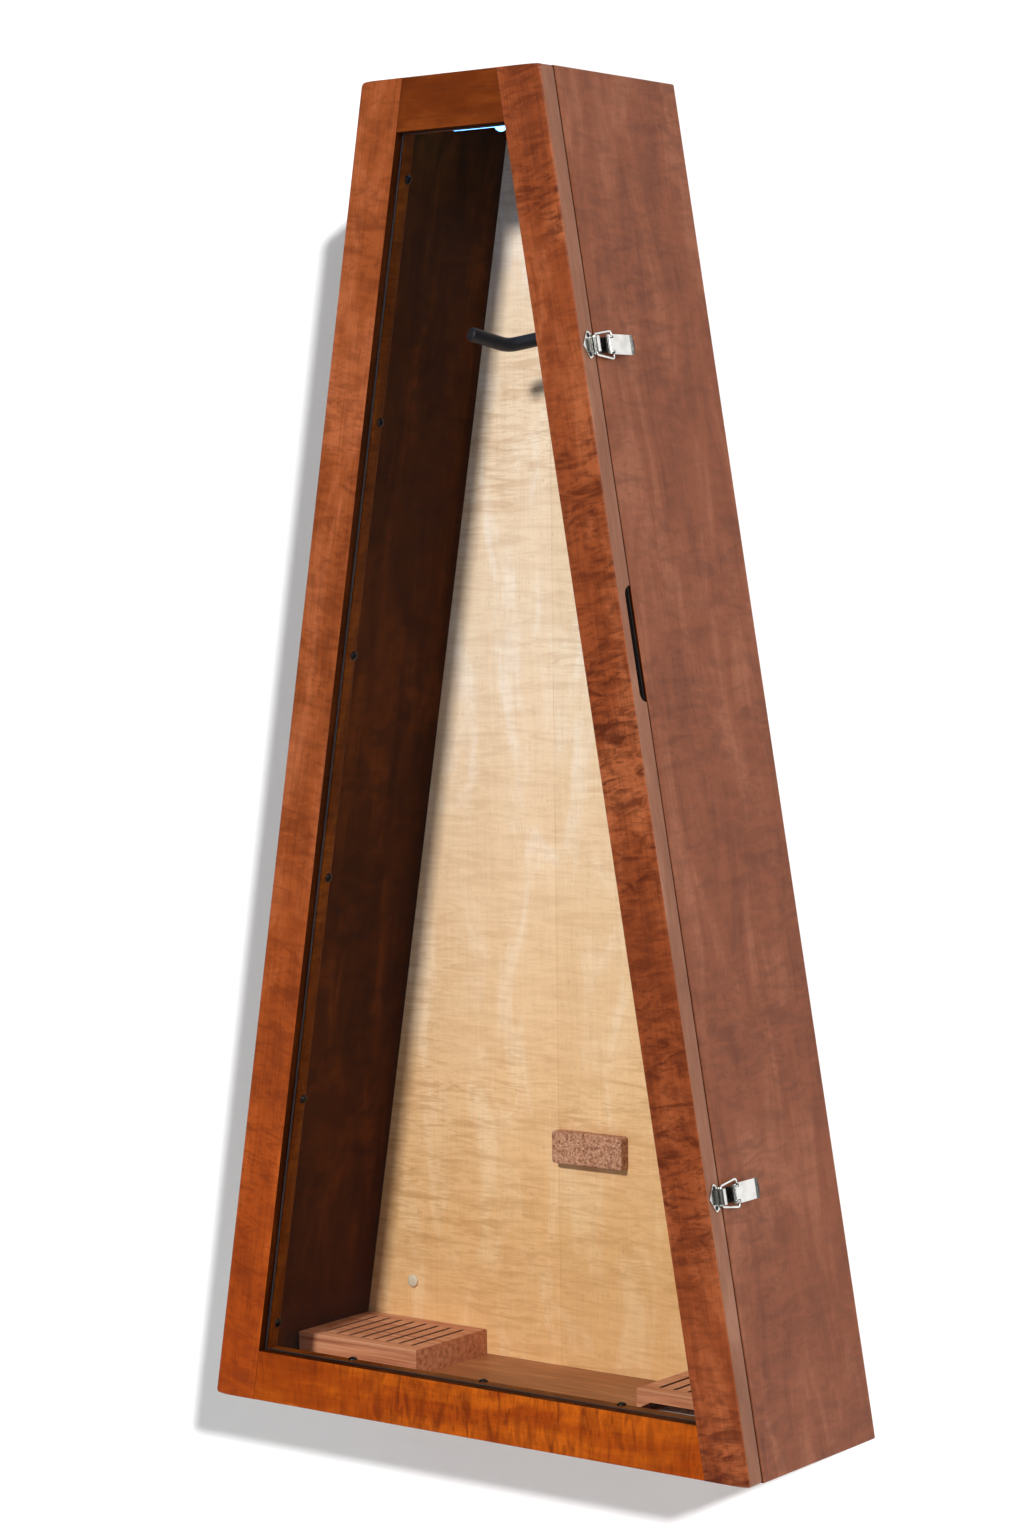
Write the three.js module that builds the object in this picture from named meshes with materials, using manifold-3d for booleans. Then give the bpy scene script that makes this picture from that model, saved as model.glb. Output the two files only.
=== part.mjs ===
// Hanging display case for one guitar: tapered case, glazed door on the left edge, two draw
// latches, sleeved yoke, light bar and two slotted humidity boxes.
// Millimetres, +Z up, front towards -Y. The origin is on the wall, at the middle of the wall rail.
import * as THREE from 'three';
import { mergeVertices } from 'three/addons/utils/BufferGeometryUtils.js';
import Module from 'manifold-3d';

const wasm = await Module();
wasm.setup();

// Driving dimensions. Heights are measured up from the bottom of the case.
const caseHeight = 1270;
const bottomWidth = 634;
const topWidth = 208;
const caseDepth = 191.9;
const sideThickness = 19.05;
const topThickness = 19.05;
const floorThickness = 22.5;
const backThickness = 6.35;
const wallStandOff = 6.5;
const railHeight = 1100;
const fitGap = 0.3;

const doorThickness = 19.05;
const doorGap = 2.15;
const stileWidth = 48.6;
const topRailWidth = 49.5;
const bottomRailWidth = 49.05;
const doorCornerRadius = 5;
const rabbetDepth = 8.5;
const rabbetWidth = 10;
const paneThickness = 3.3;
const stopWidth = 9.4;
const stopDepth = 14.4;
const scoopHeight = 747.6;
const scoopLength = 106;
const scoopDepth = 9;
const scoopWidth = 12;

const knuckleCount = 21;
const knuckleRadius = 2.5;
const hingePinRadius = 1.1;
const leafThickness = 0.85;
const leafWidth = 14;

const upperLatchHeight = 1016;
const lowerLatchHeight = 254.5;

const yokeHeight = 1036.5;
const tipSpread = 46;
const bendSpread = 32;
const rodRadius = 3;
const sleeveRadius = 6.8;

const boxWidth = 151;
const boxDepth = 113;
const boxHeight = 25.4;
const boxWall = 6;

// Planes and slopes worked out from them.
const slope = (bottomWidth - topWidth) / 2 / caseHeight;
const tilt = Math.atan(slope);
const edgeLength = caseHeight / Math.cos(tilt);
const caseBack = -wallStandOff;
const caseFront = caseBack - caseDepth;
const doorBack = caseFront - doorGap;
const doorFront = doorBack - doorThickness;
const backFace = caseBack - fitGap - backThickness;
const halfWidth = (height) => bottomWidth / 2 - slope * height;
const insetHalf = (height, inset) => halfWidth(height) - inset / Math.cos(tilt);

// Materials.
const finish = (color, roughness, metalness = 0) => {
  return new THREE.MeshStandardMaterial({ color, roughness, metalness });
};
const figuredWood = finish(0x9c5636, 0.35);
const caseWood = finish(0x8f5c47, 0.4);
const innerWood = finish(0x5a3218, 0.6);
const mapleVeneer = finish(0xe8cfa4, 0.45);
const cedar = finish(0xd09a7c, 0.75);
const nickel = finish(0xd8d8d6, 0.18, 1);
const steel = finish(0x9a9c9e, 0.4, 1);
const aluminium = finish(0xb9bcc0, 0.45, 1);
const blackMetal = finish(0x1b1b1d, 0.45, 0.3);
const rubber = finish(0x202022, 0.7);
const foam = finish(0x26130c, 0.9);
const clearPane = finish(0xf4f8f8, 0.05);
clearPane.transparent = true;
clearPane.opacity = 0.2;
const cork = finish(0xb98a66, 0.9);
const cream = finish(0xe9dcc0, 0.5);
const pouch = finish(0xc9c2c4, 0.5);
const lightLens = finish(0xdff6ff, 0.4);
lightLens.emissive.set(0xbfeaff);

const model = new THREE.Group();
const onCase = new THREE.Group();
onCase.position.z = -railHeight;
model.add(onCase);

function place(name, geometry, material, parent = onCase) {
  const mesh = new THREE.Mesh(geometry, material);
  mesh.name = name;
  parent.add(mesh);
  return mesh;
}

// Booleans. A closed geometry becomes a solid once only its merged positions are left.
function solidOf(geometry) {
  const plain = geometry.clone();
  plain.deleteAttribute('normal');
  plain.deleteAttribute('uv');
  const merged = mergeVertices(plain, 1e-4);
  const vertProperties = new Float32Array(merged.attributes.position.array);
  const triVerts = new Uint32Array(merged.index.array);
  return new wasm.Manifold(new wasm.Mesh({ numProp: 3, vertProperties, triVerts }));
}

function geometryOf(solid) {
  const mesh = solid.getMesh();
  const geometry = new THREE.BufferGeometry();
  const corners = new Float32Array(mesh.vertProperties);
  geometry.setAttribute('position', new THREE.BufferAttribute(corners, 3));
  geometry.setIndex(new THREE.BufferAttribute(new Uint32Array(mesh.triVerts), 1));
  geometry.computeVertexNormals();
  return geometry;
}

function cut(geometry, ...tools) {
  const whole = solidOf(geometry);
  return geometryOf(tools.reduce((solid, tool) => solid.subtract(solidOf(tool)), whole));
}

function join(geometry, ...others) {
  const first = solidOf(geometry);
  return geometryOf(others.reduce((solid, other) => solid.add(solidOf(other)), first));
}

// Outlines.
function outlineOf(points) {
  const shape = new THREE.Shape();
  points.forEach(([a, b], index) => (index ? shape.lineTo(a, b) : shape.moveTo(a, b)));
  shape.closePath();
  return shape;
}

function roundedOutline(points, radius) {
  const shape = new THREE.Shape();
  points.forEach(([a, b], index) => {
    const before = points[(index + points.length - 1) % points.length];
    const after = points[(index + 1) % points.length];
    const corner = new THREE.Vector2(a, b);
    const arrive = new THREE.Vector2(...before).sub(corner).setLength(radius).add(corner);
    const leave = new THREE.Vector2(...after).sub(corner).setLength(radius).add(corner);
    if (index) shape.lineTo(arrive.x, arrive.y);
    else shape.moveTo(arrive.x, arrive.y);
    shape.quadraticCurveTo(a, b, leave.x, leave.y);
  });
  shape.closePath();
  return shape;
}

// An outline drawn on the front, in x and height, run from yBack forward to yFront.
function frontPrism(shape, yBack, yFront, curveSegments = 4) {
  const options = { depth: yBack - yFront, bevelEnabled: false, curveSegments };
  const geometry = new THREE.ExtrudeGeometry(shape, options);
  return geometry.rotateX(Math.PI / 2).translate(0, yBack, 0);
}

// An outline drawn in y and z, run along x.
function sidePrism(shape, xFrom, xTo, curveSegments = 4) {
  const options = { depth: xTo - xFrom, bevelEnabled: false, curveSegments };
  const geometry = new THREE.ExtrudeGeometry(shape, options);
  const turn = new THREE.Matrix4();
  const [x, y, z] = [[1, 0, 0], [0, 1, 0], [0, 0, 1]].map((axis) => new THREE.Vector3(...axis));
  turn.makeBasis(y, z, x);
  return geometry.applyMatrix4(turn).translate(xFrom, 0, 0);
}

// An outline drawn in x and y, run along z.
function floorPrism(shape, zFrom, zTo, curveSegments = 4) {
  const options = { depth: zTo - zFrom, bevelEnabled: false, curveSegments };
  return new THREE.ExtrudeGeometry(shape, options).translate(0, 0, zFrom);
}

function block(x0, x1, y0, y1, z0, z1) {
  const geometry = new THREE.BoxGeometry(x1 - x0, y1 - y0, z1 - z0);
  return geometry.translate((x0 + x1) / 2, (y0 + y1) / 2, (z0 + z1) / 2);
}

function rodAlong(axis, radius, from, to, sides = 16) {
  const geometry = new THREE.CylinderGeometry(radius, radius, to - from, sides);
  geometry.translate(0, (from + to) / 2, 0);
  if (axis === 'x') geometry.rotateZ(-Math.PI / 2);
  if (axis === 'z') geometry.rotateX(Math.PI / 2);
  return geometry;
}

function circle(radius, sides) {
  const shape = new THREE.Shape();
  for (let i = 0; i < sides; i++) {
    const angle = (i * 2 * Math.PI) / sides;
    const point = [radius * Math.cos(angle), radius * Math.sin(angle)];
    if (i) shape.lineTo(...point);
    else shape.moveTo(...point);
  }
  shape.closePath();
  return shape;
}

// A slanted side: local z runs up the edge, and local x is square to it.
function edgeGroup(side, height) {
  const group = new THREE.Group();
  group.position.set(side * halfWidth(height), 0, height);
  group.rotation.y = -side * tilt;
  onCase.add(group);
  return group;
}

// A wide trapezoid across the case between two heights, set in from both slanted edges.
function across(inset, low, high) {
  const a = insetHalf(low, inset);
  const b = insetHalf(high, inset);
  return [[-a, low], [a, low], [b, high], [-b, high]];
}

// The strip between two insets along one slanted edge.
function upright(side, outer, inner, low, high) {
  const points = [
    [side * insetHalf(low, outer), low],
    [side * insetHalf(high, outer), high],
    [side * insetHalf(high, inner), high],
    [side * insetHalf(low, inner), low],
  ];
  return side > 0 ? points : points.reverse();
}

function buildCase() {
  for (const [name, side] of [['side_panel_left', -1], ['side_panel_right', 1]]) {
    const outline = outlineOf(upright(side, 0, sideThickness, 0, caseHeight));
    place(name, frontPrism(outline, caseBack, caseFront), caseWood);
  }
  const inset = sideThickness + fitGap;
  const ceiling = caseHeight - topThickness;
  const top = outlineOf(across(inset, ceiling, caseHeight));
  place('top_panel', frontPrism(top, caseBack, caseFront), caseWood);
  const bottom = outlineOf(across(inset, 0, floorThickness));
  place('bottom_panel', frontPrism(bottom, caseBack, caseFront), innerWood);
  const back = outlineOf(across(inset, floorThickness + fitGap, ceiling - fitGap));
  place('back_panel', frontPrism(back, backFace + backThickness, backFace), mapleVeneer);
}

// Two interlocking rails carry the case: the case's lip drops behind the wall's lip.
function buildHangingRails() {
  const halfLength = 90;
  const sheet = 1.8;
  const wallProfile = [
    [0, -12], [0, 12], [-2.3, 12], [-2.3, 26],
    [-4.1, 26], [-4.1, 10.2], [-sheet, 10.2], [-sheet, -12],
  ];
  const caseProfile = [
    [-0.3, 13], [-0.3, 28.4], [-4.6, 28.4], [-4.6, 46],
    [-6.4, 46], [-6.4, 26.6], [-2, 26.6], [-2, 13],
  ];
  const wallRail = sidePrism(outlineOf(wallProfile.reverse()), -halfLength, halfLength);
  const caseRail = sidePrism(outlineOf(caseProfile), -halfLength, halfLength);
  place('wall_rail', wallRail, aluminium).position.z = railHeight;
  place('case_rail', caseRail, aluminium).position.z = railHeight;
  const bumperRadius = 10;
  for (const [name, side] of [['bumper_left', -1], ['bumper_right', 1]]) {
    const bumper = rodAlong('y', bumperRadius, caseBack + 0.1, 0, 20);
    place(name, bumper.translate(side * 250, 0, 60), rubber);
  }
}

// Foam strips fill the gap between the case and the door, a little in from the outside.
function buildSeal() {
  const inset = 3;
  const width = 8;
  const leftWidth = 3;
  const back = caseFront - 0.1;
  const front = doorBack + 0.1;
  const right = outlineOf(upright(1, inset, inset + width, inset, caseHeight - inset));
  place('seal_right', frontPrism(right, back, front), foam);
  const leftInset = knuckleRadius + leafWidth - 1;
  const leftInner = leftInset + leftWidth;
  const left = outlineOf(upright(-1, leftInset, leftInner, inset, caseHeight - inset));
  place('seal_left', frontPrism(left, back, front), foam);
  for (const [name, low] of [['seal_bottom', inset], ['seal_top', caseHeight - inset - width]]) {
    const high = low + width;
    const points = [
      [-insetHalf(low, leftInner + fitGap), low],
      [insetHalf(low, inset + width + fitGap), low],
      [insetHalf(high, inset + width + fitGap), high],
      [-insetHalf(high, leftInner + fitGap), high],
    ];
    place(name, frontPrism(outlineOf(points), back, front), foam);
  }
}

// Continuous hinge in the gap along the left edge: a leaf on each side and knuckles by turns.
function buildHinge() {
  const group = edgeGroup(-1, 0);
  const margin = 8;
  const axisX = -knuckleRadius - 0.1;
  const axisY = (caseFront + doorBack) / 2;
  const pitch = (edgeLength - 2 * margin) / knuckleCount;
  const leaves = [
    ['hinge_leaf_case', caseFront - 0.1 - leafThickness, caseFront - 0.1, 0],
    ['hinge_leaf_door', doorBack + 0.1, doorBack + 0.1 + leafThickness, 1],
  ];
  for (const [name, yLow, yHigh, turn] of leaves) {
    const leafStart = axisX + knuckleRadius + fitGap;
    let leaf = block(leafStart, leafStart + leafWidth, yLow, yHigh, margin, edgeLength - margin);
    const knuckles = [];
    for (let i = turn; i < knuckleCount; i += 2) {
      const low = margin + i * pitch + 0.25;
      const high = margin + (i + 1) * pitch - 0.25;
      const tab = block(axisX + 1.7, leafStart + 0.5, yLow, yHigh, low, high);
      knuckles.push(rodAlong('z', knuckleRadius, low, high).translate(axisX, axisY, 0), tab);
    }
    leaf = join(leaf, ...knuckles);
    const bore = rodAlong('z', hingePinRadius + 0.3, 0, edgeLength, 12).translate(axisX, axisY, 0);
    place(name, cut(leaf, bore), nickel, group);
  }
  const pin = rodAlong('z', hingePinRadius, margin, edgeLength - margin, 12);
  place('hinge_pin', pin.translate(axisX, axisY, 0), nickel, group);
}

// Door frame: full-height stiles with the rails between them, rabbeted at the back for the pane.
function buildDoorFrame() {
  const sill = bottomRailWidth;
  const head = caseHeight - topRailWidth;
  const rabbet = () => {
    const inset = stileWidth - rabbetWidth;
    const outline = outlineOf(across(inset, sill - rabbetWidth, head + rabbetWidth));
    return frontPrism(outline, doorBack + 1, doorBack - rabbetDepth);
  };
  for (const [name, side] of [['stile_left', -1], ['stile_right', 1]]) {
    const rounded = roundedOutline(upright(side, 0, stileWidth, 0, caseHeight), doorCornerRadius);
    const square = outlineOf(upright(side, doorCornerRadius * 2, stileWidth, 0, caseHeight));
    const outerEdge = frontPrism(rounded, doorBack, doorFront);
    const stile = join(outerEdge, frontPrism(square, doorBack, doorFront));
    const hollows = side > 0 ? [rabbet(), fingerScoop()] : [rabbet()];
    place(name, cut(stile, ...hollows), figuredWood);
  }
  const inset = stileWidth + fitGap / 2;
  const bottomRail = frontPrism(outlineOf(across(inset, 0, sill)), doorBack, doorFront);
  place('rail_bottom', cut(bottomRail, rabbet()), figuredWood);
  const topRail = frontPrism(outlineOf(across(inset, head, caseHeight)), doorBack, doorFront);
  place('rail_top', cut(topRail, rabbet()), figuredWood);
}

// A long hollow with round ends in the back edge of the right stile, for the fingers.
function fingerScoop() {
  const along = scoopLength / 2 - scoopDepth;
  const length = new THREE.Matrix4().makeRotationY(-tilt);
  length.setPosition(halfWidth(scoopHeight), 0, scoopHeight);
  const shape = new THREE.Shape();
  shape.moveTo(doorBack + 2, -along - scoopDepth);
  shape.lineTo(doorBack, -along - scoopDepth);
  shape.absarc(doorBack, -along, scoopDepth, -Math.PI / 2, -Math.PI, true);
  shape.absarc(doorBack, along, scoopDepth, Math.PI, Math.PI / 2, true);
  shape.lineTo(doorBack + 2, along + scoopDepth);
  shape.closePath();
  return sidePrism(shape, -scoopWidth, 3, 6).applyMatrix4(length);
}

function buildGlazing() {
  const sill = bottomRailWidth;
  const head = caseHeight - topRailWidth;
  const paneFront = doorBack - rabbetDepth + 0.1;
  const paneBack = paneFront + paneThickness;
  const edge = rabbetWidth - 0.5;
  const pane = outlineOf(across(stileWidth - edge, sill - edge, head + edge));
  place('pane', frontPrism(pane, paneBack, paneFront), clearPane);
  const stopFront = paneBack + 0.1;
  const stopBack = stopFront + stopDepth;
  const outer = stileWidth - stopWidth - 0.1;
  const inner = stileWidth - 0.1;
  const low = sill - stopWidth;
  const high = head + stopWidth;
  for (const [name, side] of [['stop_left', -1], ['stop_right', 1]]) {
    const outline = outlineOf(upright(side, outer, inner, low, high));
    place(name, frontPrism(outline, stopBack, stopFront), caseWood);
  }
  const spans = [
    ['stop_bottom', low, low + stopWidth - 0.1],
    ['stop_top', high - stopWidth + 0.1, high],
  ];
  for (const [name, from, to] of spans) {
    const outline = outlineOf(across(inner + fitGap, from, to));
    place(name, frontPrism(outline, stopBack, stopFront), caseWood);
  }
}

// Draw latch on the right side. In its group, x points out of the side panel, y is the case's
// own y, and z runs up the edge.
function buildLatch(suffix, height) {
  const group = edgeGroup(1, height);
  const pivot = [doorBack + 16, 5.5];
  const hitch = [pivot[0] + 6.1, 4.4];
  const barAt = [doorBack - 2.1, 3.2];
  buildStrike('strike_' + suffix, group);
  buildLatchBase('latch_base_' + suffix, group, pivot);
  buildLatchPin('latch_pin_' + suffix, group, pivot);
  buildLever('latch_lever_' + suffix, group, pivot, hitch);
  buildBail('latch_bail_' + suffix, group, hitch, barAt);
}

function buildStrike(name, group) {
  const sheet = 1;
  const lift = 0.2;
  const kite = [
    [doorBack - 17.6, 0], [doorBack - 9.3, -13.3], [doorBack - 0.3, -8.3],
    [doorBack - 0.3, 8.3], [doorBack - 9.3, 13.3],
  ];
  const plate = sidePrism(roundedOutline(kite, 1.6), lift, lift + sheet, 2);
  const hookTop = 8;
  const hookHalf = 7.2;
  const hook = new THREE.Shape();
  const wallBack = doorBack + 0.3;
  const wallFront = wallBack - sheet;
  hook.moveTo(lift, wallBack);
  hook.lineTo(hookTop - 2.2, wallBack);
  hook.quadraticCurveTo(hookTop, wallBack, hookTop, wallBack - 2.2);
  hook.lineTo(hookTop, wallBack - 5.4);
  hook.lineTo(hookTop - sheet, wallBack - 5.4);
  hook.lineTo(hookTop - sheet, wallFront - 1.4);
  hook.quadraticCurveTo(hookTop - sheet, wallFront, hookTop - sheet - 1.4, wallFront);
  hook.lineTo(lift + sheet, wallFront);
  hook.lineTo(lift + sheet, wallFront - 1);
  hook.lineTo(lift, wallFront - 1);
  hook.closePath();
  place(name, join(plate, floorPrism(hook, -hookHalf, hookHalf, 4)), nickel, group);
}

function buildLatchBase(name, group, pivot) {
  const lift = 0.2;
  const foot = roundedOutline([
    [pivot[0] - 12.7, -7.4], [pivot[0] + 20, -7.4], [pivot[0] + 20, 7.4], [pivot[0] - 12.7, 7.4],
  ], 1.5);
  const earRadius = 3.9;
  const ear = new THREE.Shape();
  ear.moveTo(lift + 0.4, pivot[0] - earRadius);
  ear.lineTo(pivot[1], pivot[0] - earRadius);
  ear.absarc(pivot[1], pivot[0], earRadius, -Math.PI / 2, Math.PI / 2, false);
  ear.lineTo(lift + 0.4, pivot[0] + earRadius);
  ear.closePath();
  const base = join(
    sidePrism(foot, lift, lift + 1.2, 2),
    floorPrism(ear, 6.2, 7.4, 6),
    floorPrism(ear, -7.4, -6.2, 6),
  );
  const bore = rodAlong('z', 1.8, -9, 9, 12).translate(pivot[1], pivot[0], 0);
  place(name, cut(base, bore), nickel, group);
}

function buildLatchPin(name, group, pivot) {
  const shank = rodAlong('z', 1.5, -8, 8, 12);
  const upperHead = rodAlong('z', 2.3, 7.7, 8.6, 12);
  const lowerHead = rodAlong('z', 2.3, -8.6, -7.7, 12);
  place(name, join(shank, upperHead, lowerHead).translate(pivot[1], pivot[0], 0), nickel, group);
}

function buildLever(name, group, pivot, hitch) {
  const barrel = rodAlong('z', 2.7, -5.6, 5.6, 16).translate(pivot[1], pivot[0], 0);
  const neck = block(pivot[1] + 1.3, pivot[1] + 2.5, pivot[0], pivot[0] + 6, -5.6, 5.6);
  const plateIn = pivot[1] + 1.3;
  const tipY = pivot[0] + 37.2;
  const half = 9.25;
  const plate = new THREE.Shape();
  plate.moveTo(pivot[0] + 4.6, -half);
  plate.lineTo(tipY - 4, -half);
  plate.quadraticCurveTo(tipY + 2.5, 0, tipY - 4, half);
  plate.lineTo(pivot[0] + 4.6, half);
  plate.closePath();
  const tongue = sidePrism(plate, plateIn, plateIn + 1.2, 6);
  const lip = block(plateIn, plateIn + 2.4, tipY - 5.5, tipY - 4.2, -half, half);
  const cheek = roundedOutline([
    [hitch[1] - 2.1, hitch[0] - 2.3], [plateIn + 0.6, hitch[0] - 2.3],
    [plateIn + 0.6, hitch[0] + 5], [hitch[1] - 2.1, hitch[0] + 2.3],
  ], 0.9);
  const body = join(
    barrel, neck, tongue, lip,
    floorPrism(cheek, half - 1.2, half, 2),
    floorPrism(cheek, -half, -half + 1.2, 2),
  );
  const bore = rodAlong('z', 1.8, -12, 12, 12).translate(pivot[1], pivot[0], 0);
  const hitchBore = rodAlong('z', 1.5, -12, 12, 12).translate(hitch[1], hitch[0], 0);
  place(name, cut(body, bore, hitchBore), nickel, group);
}

// A path of straight runs with the corners rounded to one radius.
function roundedPath(points, radius) {
  const path = new THREE.CurvePath();
  let from = points[0];
  for (let i = 1; i < points.length - 1; i++) {
    const corner = points[i];
    const arrive = points[i - 1].clone().sub(corner).setLength(radius).add(corner);
    const leave = points[i + 1].clone().sub(corner).setLength(radius).add(corner);
    path.add(new THREE.LineCurve3(from, arrive));
    path.add(new THREE.QuadraticBezierCurve3(arrive, corner, leave));
    from = leave;
  }
  path.add(new THREE.LineCurve3(from, points[points.length - 1]));
  return path;
}

function tubeAlong(path, radius, steps, sides) {
  const options = { steps, bevelEnabled: false, extrudePath: path };
  return new THREE.ExtrudeGeometry(circle(radius, sides), options);
}

function buildBail(name, group, hitch, barAt) {
  const wide = 12.8;
  const narrow = 9.3;
  const at = (y, z) => {
    const share = (y - barAt[0]) / (hitch[0] - barAt[0]);
    return new THREE.Vector3(barAt[1] + share * (hitch[1] - barAt[1]), y, z);
  };
  const points = [
    at(hitch[0], 7.6), at(hitch[0], wide), at(barAt[0], narrow),
    at(barAt[0], -narrow), at(hitch[0], -wide), at(hitch[0], -7.6),
  ];
  place(name, tubeAlong(roundedPath(points, 2.6), 1.15, 44, 10), nickel, group);
}

// Yoke: a flange and stem on the back panel, and a hub that swivels on the stem's end.
const hubBack = backFace - 36;
const hubFront = hubBack - 15;
const rodY = hubFront + 5;
const bendY = rodY - 34;
const armTipY = bendY - 40;

// One arm's line from its tip, through its bend, to the hub.
function armPoints(side, tipInset) {
  return [
    new THREE.Vector3(side * tipSpread, armTipY + tipInset, 0.5),
    new THREE.Vector3(side * bendSpread, bendY, -10),
    new THREE.Vector3(0, rodY, 0),
  ];
}

function buildYoke() {
  const bendRadius = 9;
  const rodInset = 3;
  const stem = join(
    rodAlong('y', 20, backFace - 4, backFace - 0.1, 24),
    rodAlong('y', 5, hubBack - 7, backFace - 3, 16),
    rodAlong('y', 8, hubBack + 0.5, hubBack + 5, 6),
  );
  place('yoke_stem', stem.translate(0, 0, yokeHeight), blackMetal);
  const socket = rodAlong('y', 5.3, hubBack - 7.4, hubBack + 1, 16);
  const hub = cut(rodAlong('y', 8.5, hubFront, hubBack, 20), socket);
  const bothArms = armPoints(-1, rodInset).concat(armPoints(1, rodInset).reverse().slice(1));
  const rod = tubeAlong(roundedPath(bothArms, bendRadius), rodRadius, 40, 10);
  place('yoke_rod', join(hub, rod).translate(0, 0, yokeHeight), blackMetal);
  for (const [name, side] of [['sleeve_left', -1], ['sleeve_right', 1]]) {
    const [tip, bend, centre] = armPoints(side, 0);
    const [coreTip] = armPoints(side, rodInset - 0.4);
    const outer = roundedPath([tip, bend, bend.clone().lerp(centre, 0.68)], bendRadius);
    const inner = roundedPath([coreTip, bend, bend.clone().lerp(centre, 0.8)], bendRadius);
    const bore = tubeAlong(inner, rodRadius + 0.7, 24, 10);
    const sleeve = cut(tubeAlong(outer, sleeveRadius, 20, 14), bore);
    place(name, sleeve.translate(0, 0, yokeHeight), rubber);
  }
}

// Light bar under the top panel: a channel, its lens and the motion sensor's dome.
function buildLight() {
  const halfLength = 67;
  const back = caseBack - 116;
  const front = back - 28;
  const top = caseHeight - topThickness - 0.2;
  const lensTop = top - 19;
  const lensBottom = lensTop - 2.3;
  const wall = 1.6;
  const channel = outlineOf([
    [back, top], [front, top], [front, lensTop], [front + wall, lensTop],
    [front + wall, top - wall], [back - wall, top - wall], [back - wall, lensTop], [back, lensTop],
  ]);
  place('light_housing', sidePrism(channel, -halfLength, halfLength), aluminium);
  const lens = roundedOutline([
    [front + wall + 0.2, lensTop + 3], [front + wall + 0.2, lensBottom],
    [back - wall - 0.2, lensBottom], [back - wall - 0.2, lensTop + 3],
  ], 2);
  place('light_lens', sidePrism(lens, -halfLength + 1, halfLength - 1), lightLens);
  const dome = [new THREE.Vector2(0, 0)];
  const radius = 6.5;
  for (let i = 0; i <= 6; i++) {
    const angle = (i / 6) * (Math.PI / 2);
    dome.push(new THREE.Vector2(radius * Math.cos(angle), radius * Math.sin(angle)));
  }
  dome[dome.length - 1].x = 0;
  const sensor = new THREE.LatheGeometry(dome, 16).rotateX(-Math.PI / 2);
  sensor.translate(0, front + wall + 0.2 + radius + 0.6, lensBottom - 0.2);
  place('light_sensor', sensor, lightLens);
}

function buildFittings() {
  const pad = roundedOutline([[-42, 228], [42, 228], [42, 260], [-42, 260]], 3);
  place('cork_pad', frontPrism(pad, backFace - 0.1, backFace - 12), cork);
  for (const [name, side] of [['cover_button_left', -1], ['cover_button_right', 1]]) {
    const profile = [[0, 0], [6.5, 0], [6.5, 1.2], [5, 2.4], [0, 3]];
    const button = new THREE.LatheGeometry(profile.map(([r, t]) => new THREE.Vector2(r, t)), 20);
    button.rotateX(Math.PI).translate(side * 229, backFace - 0.1, 86);
    place(name, button, cream);
  }
  const plate = roundedOutline([
    [-41, caseBack - 142], [41, caseBack - 142], [41, caseBack - 117], [-41, caseBack - 117],
  ], 4);
  place('floor_plate', floorPrism(plate, floorThickness + 0.1, floorThickness + 4.4), steel);
}

// Humidity box: slotted top, thin floor, and a wide loading mouth with sloping ends at its front.
function humidityBox() {
  const halfBox = boxWidth / 2;
  const front = -boxDepth / 2;
  const outside = block(-halfBox, halfBox, front, -front, 0, boxHeight);
  const roof = boxHeight - 5;
  const hollow = halfBox - boxWall;
  const cavity = block(-hollow, hollow, front + boxWall, -front - boxWall, 3, roof);
  const mouth = outlineOf([
    [-halfBox + 2.6, 3], [halfBox - 2.6, 3], [halfBox - 2.6, 7.5],
    [halfBox - 15.7, 14], [-halfBox + 15.7, 14], [-halfBox + 2.6, 7.5],
  ]);
  const slots = [];
  const slotCount = 8;
  const slotHalfWidth = 2;
  const firstSlot = 17;
  const pitch = 16;
  for (let i = 0; i < slotCount; i++) {
    const x = -halfBox + firstSlot + i * pitch;
    const slot = new THREE.Shape();
    slot.absarc(x, front + 16, slotHalfWidth, Math.PI, 2 * Math.PI, false);
    slot.absarc(x, -front - 16, slotHalfWidth, 0, Math.PI, false);
    slot.closePath();
    slots.push(floorPrism(slot, roof - 1, boxHeight + 1, 4));
  }
  return cut(outside, cavity, frontPrism(mouth, front + boxWall + 1, front - 1), ...slots);
}

function buildHumidityBoxes() {
  const spots = [
    ['left', -210.5, caseBack - 64.5, Math.PI],
    ['right', 208.5, caseBack - 69.5, 0],
  ];
  for (const [word, x, y, turn] of spots) {
    const group = new THREE.Group();
    group.position.set(x, y, floorThickness + 0.1);
    group.rotation.z = turn;
    onCase.add(group);
    place('humidity_box_' + word, humidityBox(), cedar, group);
    const pack = roundedOutline([[-62, -46], [62, -46], [62, 44], [-62, 44]], 3);
    place('humidity_pack_' + word, floorPrism(pack, 3.2, 9.2, 2), pouch, group);
  }
}

buildCase();
buildHangingRails();
buildSeal();
buildHinge();
buildDoorFrame();
buildGlazing();
buildLatch('upper', upperLatchHeight);
buildLatch('lower', lowerLatchHeight);
buildYoke();
buildLight();
buildFittings();
buildHumidityBoxes();

export default model;
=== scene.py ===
import math

import bmesh
import bpy
from mathutils import Matrix, Vector


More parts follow.
